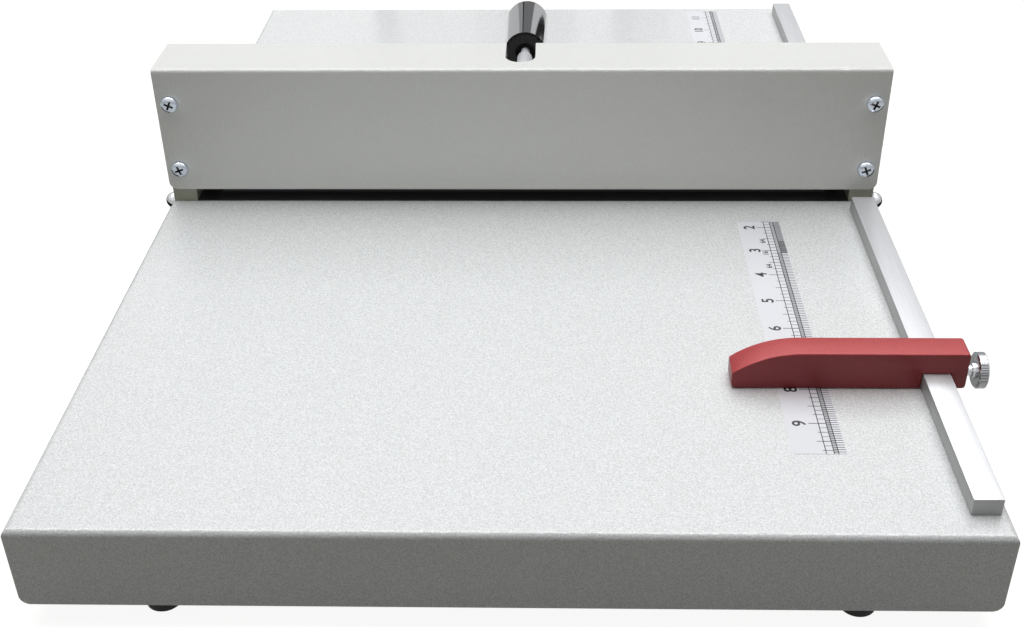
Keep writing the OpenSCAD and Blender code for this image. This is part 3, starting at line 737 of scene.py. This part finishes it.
@dataclass
class PaperStop(SubAssembly):
    """The red stop with its sloping end and its notch over the fence."""

    body: str = "stop"
    slope_x: float = 131.0 * MM
    slope_r: float = 51.0 * MM
    columns: int = 16
    corner: float = 1.6 * MM
    edge: float = 0.6 * MM
    fence_play: float = 0.2 * MM

    def build(self) -> None:
        """Makes the stop from a block: columns across the end are lowered onto the curve, then the notch is cut."""
        low, high = self.box("paper_stop")
        fence_low, fence_high = self.box("fence_front")
        stop = Bench.block("paper_stop_body", tuple(low), tuple(high))
        for i in range(self.columns):
            x = self.slope_x - (self.slope_x - low.x) * ((i + 1) / self.columns - 1) ** 2
            with Bench.chosen(stop):
                bpy.ops.mesh.bisect(plane_co=(x, 0, 0), plane_no=(1, 0, 0))
        for x in sorted({round(v.co.x, 6) for v in stop.data.vertices if v.co.x < self.slope_x - 1e-6}):
            drop = self.slope_r - math.sqrt(self.slope_r ** 2 - (self.slope_x - x) ** 2)
            with Bench.chosen(stop, verts=lambda co, at=x: abs(co.x - at) < NEAR and co.z > high.z - NEAR):
                bpy.ops.transform.translate(value=(0, 0, -drop))
        for x, z in ((high.x, high.z), (high.x, low.z), (low.x, low.z)):
            with Bench.chosen(stop, verts=lambda co, at=x, up=z: abs(co.x - at) < NEAR and abs(co.z - up) < NEAR):
                bpy.ops.mesh.bevel(offset=self.corner, segments=6, affect="EDGES")
        past, play = 10 * MM, self.fence_play
        notch = Bench.block("notch", (fence_low.x - play, low.y - past, low.z - past),
                            (fence_high.x + play, high.y + past, fence_high.z + play))
        Bench.carve(stop, notch)
        Bench.tidy(stop)
        Bench.soften(stop, self.edge, 3, 32)
        Bench.smooth(stop, 30)
        self.keep(stop, "red_anodised", "red_anodised", "paper_stop")
        # The faces that do not face upwards take the darker red: painted shade
        self.face(stop, "red_shaded_side", lambda centre, normal: normal.z < 0.25)


@dataclass
class ThumbScrew(SubAssembly):
    """The knurled thumb screw of the stop."""

    body: str = "thumb"
    knurls: int = 70
    groove: float = 0.45 * MM
    face_edge: float = 0.9 * MM
    thick: float = 4.7 * MM
    screw_r: float = 2.5 * MM
    collar_r: float = 3.8 * MM
    side: float = 0.3

    def build(self) -> None:
        """Turns the head and its neck, then presses in every second rim strip to knurl it."""
        low, high = self.box("thumb_screw")
        radius = (high.z - low.z) / 2
        middle = Vector((0, (low.y + high.y) / 2, (low.z + high.z) / 2))
        thick = self.thick
        inner = high.x - thick
        head = Bench.turned("thumb_head", [(0, radius - self.face_edge), (0.25 * MM, radius - 0.5 * MM),
                                          (0.6 * MM, radius - 0.05 * MM), (thick - 0.6 * MM, radius - 0.05 * MM),
                                          (thick - 0.25 * MM, radius - 0.5 * MM), (thick, radius - self.face_edge),
                                          (thick, radius - 2.2 * MM), (thick - 0.7 * MM, radius - 2.6 * MM)],
                            (inner, middle.y, middle.z), Axis.RIGHT.value, sides=self.knurls * 2)
        rim = radius - 0.5 * MM

        def in_groove(centre: Vector, normal: Vector) -> bool:
            """Tells whether a rim face belongs to a groove of the knurl."""
            spot = centre - middle
            if math.hypot(spot.y, spot.z) < rim or abs(normal.x) > self.side:
                return False
            return math.floor(math.atan2(spot.z, spot.y) / math.pi * self.knurls) % 2 == 0

        with Bench.chosen(head, faces=in_groove):
            bpy.ops.mesh.inset(thickness=0.06 * MM, depth=-self.groove)
        end = inner - low.x
        neck = Bench.turned("thumb_neck", [(0, self.screw_r), (end - 1.5 * MM, self.screw_r),
                                          (end - 1.4 * MM, self.collar_r - 0.2 * MM), (end - 0.1 * MM, self.collar_r),
                                          (end + 0.2 * MM, self.collar_r)],
                            (low.x, middle.y, middle.z), Axis.RIGHT.value, sides=48)
        screw = Bench.joined("thumb_screw_knurled", [head, neck])
        Bench.smooth(screw, 28)
        self.keep(screw, "nickel", "zinc", "thumb_screw")
        bottom = radius - 0.05 * MM - self.groove

        def at_bottom(centre: Vector, normal: Vector) -> bool:
            """Tells whether a face is the bottom of a groove."""
            off = math.hypot(centre.y - middle.y, centre.z - middle.z) - bottom
            return abs(normal.x) < self.side and centre.x > inner and abs(off) < 0.3 * self.groove

        self.face(screw, "recess_shade", at_bottom)


@dataclass
class LeverGrip(SubAssembly):
    """The bright grip of the lever."""

    body: str = "lever"
    shaft_z: float = 114.0 * MM
    lever_x: float = 1.0 * MM
    slope: float = -6.0
    start: float = 71.0 * MM
    length: float = 82.0 * MM
    near_r: float = 12.8 * MM
    far_r: float = 13.7 * MM
    end_r: float = 7.0 * MM
    wall: float = 0.8 * MM
    plug: float = 12.2 * MM
    steps: int = 10

    def build(self) -> None:
        """Makes the grip with its softened mouth and round far end; the mouth's front ring is painted dark as shade."""
        mouth = self.near_r - self.wall
        stations: List[Pair] = [(self.start + self.plug, mouth), (self.start + 0.3 * MM, mouth),
                                (self.start, mouth + 0.25 * MM), (self.start, self.near_r - 0.2 * MM),
                                (self.start + 0.15 * MM, self.near_r)]
        round_from = self.start + self.length - self.end_r
        swell = (self.far_r - self.near_r) / (round_from - self.start)
        stations += [(z, self.near_r + swell * (z - self.start))
                     for z in (self.start + 0.6 * MM, (self.start + round_from) / 2, round_from - 0.6 * MM, round_from)]
        for i in range(1, self.steps + 1):
            angle = math.pi / 2 * i / self.steps
            stations.append((round_from + self.end_r * math.sin(angle),
                             self.far_r - self.end_r * (1 - math.cos(angle))))
        turn = (math.radians(self.slope - 90), 0.0, 0.0)
        root = Vector((self.lever_x, 0, self.shaft_z))
        grip = Bench.turned("lever_grip_sleeve", stations, root, turn, sides=96)
        Bench.smooth(grip, 30)
        self.keep(grip, "bright_chrome", "bright_chrome", "lever_grip")
        along = Vector((0, math.cos(math.radians(self.slope)), math.sin(math.radians(self.slope))))
        # The chrome mouth ring is painted dark: painted shade on an edge in shadow
        self.face(grip, "dark_steel_and_shade", lambda centre, normal: (centre - root).dot(along) < self.start + 0.2 * MM)


@dataclass
class PanHeads(SubAssembly):
    """The zinc plated pan heads with their cross recesses, on the cover's front and rear."""

    head_r: float = 4.7 * MM
    head_h: float = 3.3 * MM
    recess: float = 5.2 * MM
    blade: float = 1.15 * MM
    shoulder: float = 0.45
    crown: float = 0.30
    spins: Pair = (0.35, 0.8)

    def head(self, name: str) -> Object:
        """Makes one head that points up, with its seat at the origin.

        Args:
            name: The piece's name.

        Returns:
            The head.
        """
        r, h = self.head_r, self.head_h
        stations = [(-1.2 * MM, 2.5 * MM), (0, 2.5 * MM), (0, r - 0.15 * MM), (0.15 * MM, r)]
        stations += [(h * (self.shoulder + (1 - self.shoulder) * math.sin(a)),
                      r * (self.crown + (1 - self.crown) * math.cos(a)))
                     for a in [math.pi / 2 * i / 8 for i in range(9)]]
        obj = Bench.turned(name, stations, (0, 0, 0), Axis.UP.value, sides=48)
        for turn in (0.0, math.pi / 2):
            slot = Bench.block("slot", (-self.recess / 2, -self.blade / 2, self.shoulder * h),
                               (self.recess / 2, self.blade / 2, 2 * h))
            slot.rotation_euler = (0, 0, turn)
            Bench.settle(slot)
            Bench.carve(obj, slot)
        Bench.tidy(obj)
        Bench.soften(obj, 0.12 * MM, 2, 50)
        Bench.smooth(obj, 30)
        return obj

    def build(self) -> None:
        """Sets four heads on each side of the cover."""
        for node, axis in (("cover_screws_front", Axis.FRONT), ("cover_screws_rear", Axis.REAR)):
            low, high = self.box(node)
            face = self.box("cover")[0 if axis is Axis.FRONT else 1].y
            heads, places = [], []
            for i, (x, z) in enumerate(((low.x, low.z), (low.x, high.z), (high.x, low.z), (high.x, high.z))):
                x += self.head_r if x < 0 else -self.head_r
                z += self.head_r if z == low.z else -self.head_r
                places.append((x, z))
                one = self.head(f"{node}_{i}")
                one.rotation_euler = (0, 0, self.spins[0] + self.spins[1] * i)
                Bench.settle(one)
                one.rotation_euler = axis.value
                one.location = (x, face, z)
                heads.append(Bench.settle(one))
            piece = self.keep(Bench.joined(node + "_heads", heads), "zinc", "zinc", node)

            def in_recess(centre: Vector, normal: Vector) -> bool:
                """Tells whether a face is a wall or the floor of a cross recess."""
                off = min(math.hypot(centre.x - x, centre.z - z) for x, z in places)
                deep = abs(abs(centre.y - face) - self.shoulder * self.head_h) < 0.06 * MM
                return off < self.recess / 2 + 0.1 * MM and (abs(normal.y) < 0.3 or deep)

            self.face(piece, "recess_shade", in_recess)


@dataclass
class CapNuts(SubAssembly):
    """The bright cap nuts at both sides of the table."""

    hex_r: float = 5.75 * MM
    hex_h: float = 3.0 * MM
    dome_r: float = 4.9 * MM

    def build(self) -> None:
        """Makes one nut and its mirror image."""
        low, high = self.box("cap_nuts")
        z = (low.z + high.z) / 2
        washer = self.box("side_washers")[1].x
        body = Bench.turned("nut_hex", [(0, self.hex_r - 0.3 * MM), (0.3 * MM, self.hex_r),
                                       (self.hex_h - 0.4 * MM, self.hex_r), (self.hex_h, self.hex_r - 0.6 * MM)],
                            (washer, 0, z), Axis.RIGHT.value, sides=6)
        tall = high.x - washer - self.hex_h
        dome = Bench.turned("nut_dome", [(self.hex_h - 0.2 * MM, self.dome_r)] +
                            [(self.hex_h + tall * math.sin(a), max(self.dome_r * math.cos(a), 0.02 * MM))
                             for a in [math.pi / 2 * i / 12 for i in range(13)]],
                            (washer, 0, z), Axis.RIGHT.value, sides=64)
        right = Bench.joined("cap_nut_right", [body, dome])
        Bench.smooth(right, 35)
        left = Bench.copied(right, "cap_nut_left", mirror=(-1, 1, 1))
        Bench.smooth(left, 35)
        self.keep(Bench.joined("cap_nuts_bright", [right, left]), "bright_chrome", "bright_chrome", "cap_nuts")


@dataclass
class ReturnSprings(SubAssembly):
    """The return springs under the ends of the blade carrier."""

    wire: float = 0.6 * MM
    turns: int = 5
    steps: int = 20
    pressed: float = 0.655

    def build(self) -> None:
        """Winds one spring from a ring by a screw sweep and copies it to the other side."""
        low, high = self.box("spring_right")
        centre = Vector(((low.x + high.x) / 2, (low.y + high.y) / 2, 0))
        radius = (high.x - low.x) / 2 - self.wire
        rise = (high.z - low.z - 2 * self.wire) / self.turns
        Bench.clear()
        bpy.ops.mesh.primitive_circle_add(vertices=12, radius=self.wire, location=(radius, 0, low.z + self.wire),
                                          rotation=(math.pi / 2, 0, 0))
        coil = Bench.named("return_spring_right")
        Bench.settle(coil)
        Bench.modify(coil, "SCREW", angle=2 * math.pi, screw_offset=rise, iterations=self.turns, steps=self.steps,
                     render_steps=self.steps, use_normal_calculate=True)
        with Bench.chosen(coil):
            bpy.ops.mesh.select_all(action="DESELECT")
            bpy.ops.mesh.select_mode(type="EDGE")
            bpy.ops.mesh.select_non_manifold()
            bpy.ops.mesh.edge_face_add()
        coil.location = centre
        Bench.settle(coil)
        Bench.tidy(coil)
        Bench.smooth(coil, 50)
        twin = Bench.copied(coil, "return_spring_left", (-2 * centre.x, 0, 0))
        for piece, node in ((coil, "spring_right"), (twin, "spring_left")):
            # The springs are bare steel; their dark colour is painted shade, for they stand in the shadow under the
            # cover
            self.keep(piece, "dark_steel_and_shade", "bare_steel", node)
            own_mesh(piece)


@dataclass
class Rulers(SubAssembly):
    """The printed inch scales on their films."""

    ink: float = 0.012 * MM
    line_x: Point = (135.4 * MM, 138.8 * MM, 140.7 * MM)
    numeral_x: float = 126.9 * MM
    numeral_h: float = 6.0 * MM
    small_h: float = 3.0 * MM
    em: float = 1.4
    bold: float = 0.027
    small_shift: float = 5.4 * MM
    dense: Pair = (2.6, 3.1)
    # Millimetres: the lines' widths; inches, reach to the left and width of each kind of long tick
    rules: Point = (0.42, 0.4, 0.4)
    ticks: Tuple[Point, ...] = ((1.0, 4.4, 0.42), (0.5, 2.7, 0.38), (0.25, 1.3, 0.34), (0.125, 0.0, 0.3))
    sign: int = -1
    z: float = 0.0

    def mark(self, name: str, x0: float, x1: float, y0: float, y1: float) -> Object:
        """Makes one flat printed mark.

        Args:
            name: The mark's name.
            x0: Its left side.
            x1: Its right side.
            y0: Its near or far side.
            y1: The other one.

        Returns:
            The mark.
        """
        return Bench.block(name, (x0, min(y0, y1), self.z), (x1, max(y0, y1), self.z + self.ink))

    def row(self, name: str, x0: float, x1: float, first: float, last: float, pitch: float, thick: float) -> Object:
        """Makes a row of equal ticks with an array.

        Args:
            name: The row's name.
            x0: The ticks' left end.
            x1: Their right end.
            first: The first tick in inches.
            last: The last tick in inches.
            pitch: Their spacing in inches.
            thick: A tick's width.

        Returns:
            The row.
        """
        at = self.sign * first * INCH
        tick = self.mark(name, x0, x1, at - thick / 2, at + thick / 2)
        count = int(round((last - first) / pitch)) + 1
        return Bench.modify(tick, "ARRAY", count=count, use_relative_offset=False, use_constant_offset=True,
                            constant_offset_displace=(0, self.sign * pitch * INCH, 0))

    def numeral(self, text: str, x: float, inch: float, height: float) -> Object:
        """Makes a plain number that reads from the right side.

        Args:
            text: The digits.
            x: Its middle along X.
            inch: Its middle along the ruler.
            height: The digits' height.

        Returns:
            The number as a mesh.
        """
        Bench.clear()
        bpy.ops.object.text_add(location=(0, 0, 0))
        obj = bpy.context.view_layer.objects.active
        obj.data.body = text
        obj.data.align_x = "CENTER"
        obj.data.align_y = "CENTER"
        obj.data.size = height * self.em
        obj.data.offset = height * self.bold
        obj.data.extrude = self.ink / 2
        bpy.ops.object.convert(target="MESH")
        obj = Bench.named("numeral_" + text)
        low = Vector([min(c[i] for c in obj.bound_box) for i in range(3)])
        high = Vector([max(c[i] for c in obj.bound_box) for i in range(3)])
        middle = (low + high) / 2
        obj.location = (-middle.x, -middle.y, 0)
        Bench.settle(obj)
        obj.rotation_euler = (0, 0, math.pi / 2)
        obj.location = (x, self.sign * inch * INCH, self.z + self.ink / 2)
        return Bench.settle(obj)

    def scale(self, node: str) -> None:
        """Prints one ruler.

        Args:
            node: The film's node.
        """
        low, high = self.box(node)
        self.z = high.z + 0.004 * MM
        near, far = sorted((abs(low.y) / INCH, abs(high.y) / INCH))
        dense_from, dense_to = self.dense
        a, b, c = self.line_x
        right = high.x - 0.15 * MM
        start, end = math.ceil(near * 16) / 16, math.floor(far * 16) / 16
        black: List[Object] = []
        for x, wide in zip(self.line_x, self.rules):
            half = wide * MM / 2
            black.append(self.mark("rule", x - half, x + half, self.sign * near * INCH, self.sign * far * INCH))
        for unit, left, thick in self.ticks:
            first = math.ceil(near / unit) * unit
            last = math.floor(far / unit) * unit
            black.append(self.row("ticks", a - left * MM, b, first, last, unit, thick * MM))
        grey = [self.row("thirty_seconds", b, c, start, end, 1 / 32, 0.3 * MM)]
        black.append(self.row("sixteenths", b, right, dense_to, end, 1 / 16, 0.42 * MM))
        grey.append(self.row("sixty_fourths", c, right, start, dense_from, 1 / 64, 0.2 * MM))
        black.append(self.row("dense_block", c, right, dense_from, dense_to, 1 / 64, 0.27 * MM))
        for inch in range(math.ceil(near), math.floor(far) + 1):
            black.append(self.numeral(str(inch), self.numeral_x, inch, self.numeral_h))
        for text, inch in (("64", dense_from), ("16", dense_to), ("64", dense_to + 0.55)):
            black.append(self.numeral(text, self.numeral_x + self.small_shift, inch, self.small_h))
        for pieces, finish, suffix in ((black, "ruler_ink", "_print"), (grey, "ruler_grey_ink", "_fine_print")):
            self.keep(Bench.joined(node + suffix, pieces), finish, "ruler_film")

    def build(self) -> None:
        """Prints both rulers, the front one towards -Y."""
        for sign, node in ((-1, "ruler_front"), (1, "ruler_rear")):
            self.sign = sign
            self.scale(node)


# ---- studio ----


@dataclass(frozen=True)
class Lamp:
    """One soft rectangular lamp: its middle, the point that it faces, its size, power in watts and colour."""

    name: str
    place: Point
    aim: Point
    size: Pair
    power: float
    colour: Colour

    def build(self) -> None:
        """Hangs the lamp."""
        data = bpy.data.lights.new(self.name, "AREA")
        data.shape = "RECTANGLE"
        data.size, data.size_y = self.size
        data.energy = self.power
        data.color = self.colour
        obj = bpy.data.objects.new(self.name, data)
        obj.location = self.place
        obj.rotation_euler = (Vector(self.aim) - Vector(self.place)).to_track_quat("-Z", "Y").to_euler()
        bpy.context.scene.collection.objects.link(obj)


@dataclass(frozen=True)
class Card:
    """One card that only reflections see, as the dark and bright things around a studio table."""

    name: str
    low: Point
    high: Point
    grey: float

    def build(self) -> None:
        """Sets up the card."""
        card = Bench.block(self.name, self.low, self.high)
        material = bpy.data.materials.new(self.name)
        nodes, surface = fresh_nodes(material, "ShaderNodeOutputMaterial")
        nodes.put(nodes.add("ShaderNodeEmission", Color=WHITE, Strength=self.grey).outputs[0], surface)
        card.data.materials.append(material)
        card.visible_camera = card.visible_diffuse = card.visible_shadow = card.visible_transmission = False


@dataclass
class Studio:
    """The camera, the soft light, the cards and the pale floor."""

    pitch: float = 32.696
    yaw: float = 1.529
    roll: float = -0.665
    place: Point = (18.26 * MM, -693.92 * MM, 408.05 * MM)
    lens: float = 46.36
    shift: float = -0.0108
    fill: float = 0.14
    around: float = 0.45
    bright_from: float = 0.6
    floor_size: float = 14.0
    floor_place: Point = (0, 2.0, -0.0002)
    floor_tone: Colour = (0.20, 0.198, 0.172)
    floor_camera: float = 0.92
    floor_mirror: float = 0.5
    lamps: Tuple[Lamp, ...] = (
        Lamp("overhead_soft", (0.0, 0.66, 1.7), (0.0, 0.66, 0.0), (2.4, 2.4), 46.5, (0.985, 0.99, 1.0)),
        Lamp("front_fill", (-0.6, -2.2, 1.0), (0.0, -0.2, 0.05), (1.6, 1.2), 1.0, (1.0, 0.98, 0.90)),
    )
    strip_edges: Tuple[float, ...] = (-0.125, -0.108, -0.045, -0.024, -0.018, 0.036, 0.066, 0.084, 0.110, 0.140)
    strip_greys: Tuple[float, ...] = (0.05, 0.50, 0.30, 0.01, 0.17, 0.52, 0.015, 0.28, 0.55)
    strip_y: Pair = (0.33, 0.332)
    strip_z: Pair = (0.055, 0.245)
    cards: Tuple[Card, ...] = (
        Card("card_low_left", (-0.40, -0.06, 0.001), (-0.213, 0.40, 0.003), 0.02),
        Card("card_low_right", (0.213, -0.06, 0.001), (0.40, 0.40, 0.003), 0.02),
        Card("card_overhead", (-1.2, -0.28, 1.50), (1.2, 0.0, 1.51), 10.0),
    )

    def camera(self) -> None:
        """Puts the camera where the photograph was taken from."""
        data = bpy.data.cameras.new("camera")
        data.lens = self.lens
        data.sensor_width = 36.0
        data.sensor_fit = "HORIZONTAL"
        data.shift_x = self.shift
        data.clip_start = 0.01
        obj = bpy.data.objects.new("camera", data)
        bpy.context.scene.collection.objects.link(obj)
        pitch, yaw, roll = (math.radians(v) for v in (self.pitch, self.yaw, self.roll))
        turn = Matrix.Rotation(yaw, 3, "Z")
        forward = turn @ Vector((0, math.cos(pitch), -math.sin(pitch)))
        up = turn @ Vector((0, math.sin(pitch), math.cos(pitch)))
        right = turn @ Vector((1, 0, 0))
        side = math.cos(roll) * right + math.sin(roll) * up
        top = -math.sin(roll) * right + math.cos(roll) * up
        basis = Matrix((side, top, -forward)).transposed()
        obj.matrix_world = Matrix.Translation(self.place) @ basis.to_4x4()
        bpy.context.scene.camera = obj

    def glow(self, nodes: Nodes, camera: float, mirror: object, rest: float) -> Socket:
        """Mixes three strengths by what looks at a surface.

        Args:
            nodes: The tree's helper.
            camera: The strength that the camera sees, also through glass.
            mirror: The strength that reflections see, a number or a socket.
            rest: The strength for all other light.

        Returns:
            The mixed strength.
        """
        path = nodes.add("ShaderNodeLightPath")
        seen = nodes.sum("MAXIMUM", path.outputs["Is Camera Ray"], path.outputs["Is Transmission Ray"])
        glossy = path.outputs["Is Glossy Ray"]
        other = nodes.sum("SUBTRACT", nodes.sum("SUBTRACT", 1.0, seen), glossy)
        mixed = nodes.sum("MULTIPLY_ADD", seen, camera, nodes.sum("MULTIPLY", nodes.sum("MAXIMUM", other, 0.0), rest))
        return nodes.sum("ADD", mixed, nodes.sum("MULTIPLY", glossy, mirror))

    def floor(self) -> None:
        """Lays the floor under the feet: white to the camera, paler to reflections, a grey card to the light."""
        Bench.clear()
        bpy.ops.mesh.primitive_plane_add(size=self.floor_size, location=self.floor_place)
        floor = Bench.named("floor")
        Bench.settle(floor)
        material = bpy.data.materials.new("pale_floor")
        nodes, surface = fresh_nodes(material, "ShaderNodeOutputMaterial")
        card = nodes.add("ShaderNodeBsdfDiffuse", Color=(*self.floor_tone, 1))
        light = nodes.add("ShaderNodeEmission", Color=WHITE,
                          Strength=self.glow(nodes, self.floor_camera, self.floor_mirror, 0.0))
        both = nodes.add("ShaderNodeAddShader")
        nodes.put(card.outputs[0], both.inputs[0])
        nodes.put(light.outputs[0], both.inputs[1])
        nodes.put(both.outputs[0], surface)
        floor.data.materials.append(material)

    def sky(self) -> None:
        """Sets the world: white to the camera, white above and grey around to reflections, and a soft fill."""
        world = bpy.data.worlds.new("studio")
        bpy.context.scene.world = world
        nodes, surface = fresh_nodes(world, "ShaderNodeOutputWorld")
        place = nodes.add("ShaderNodeTexCoord").outputs["Generated"]
        height = nodes.add("ShaderNodeSeparateXYZ", Vector=place).outputs["Z"]
        tall = nodes.add("ShaderNodeMapRange", Value=height, From_Min=0.0, From_Max=self.bright_from,
                         To_Min=self.around, To_Max=1.0)
        shade = nodes.add("ShaderNodeBackground", Color=WHITE,
                          Strength=self.glow(nodes, 1.0, tall.outputs["Result"], self.fill))
        nodes.put(shade.outputs[0], surface)

    def build(self) -> None:
        """Builds the whole studio."""
        self.camera()
        self.floor()
        self.sky()
        for lamp in self.lamps:
            lamp.build()
        (near, far), (bottom, top) = self.strip_y, self.strip_z
        for i, grey in enumerate(self.strip_greys):
            left, right = self.strip_edges[i:i + 2]
            Card(f"card_{i}", (left, near, bottom), (right, far, top), grey).build()
        for card in self.cards:
            card.build()
        bpy.context.scene.view_settings.view_transform = "Standard"
        LOG.info("studio built")


def main(frame: Dict) -> None:
    """Builds the studio and every sub-assembly in order.

    Args:
        frame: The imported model's frame.
    """
    logging.basicConfig(level=logging.INFO, format="%(name)s %(message)s")
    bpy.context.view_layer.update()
    rack = FinishRack()
    Studio().build()
    for kind in (DressedNodes, Fences, PaperStop, ThumbScrew, LeverGrip, PanHeads, CapNuts, ReturnSprings, Rulers):
        group = kind(frame, rack)
        group.build()
        group.report()


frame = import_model()

if __name__ == "__main__":
    main(frame)
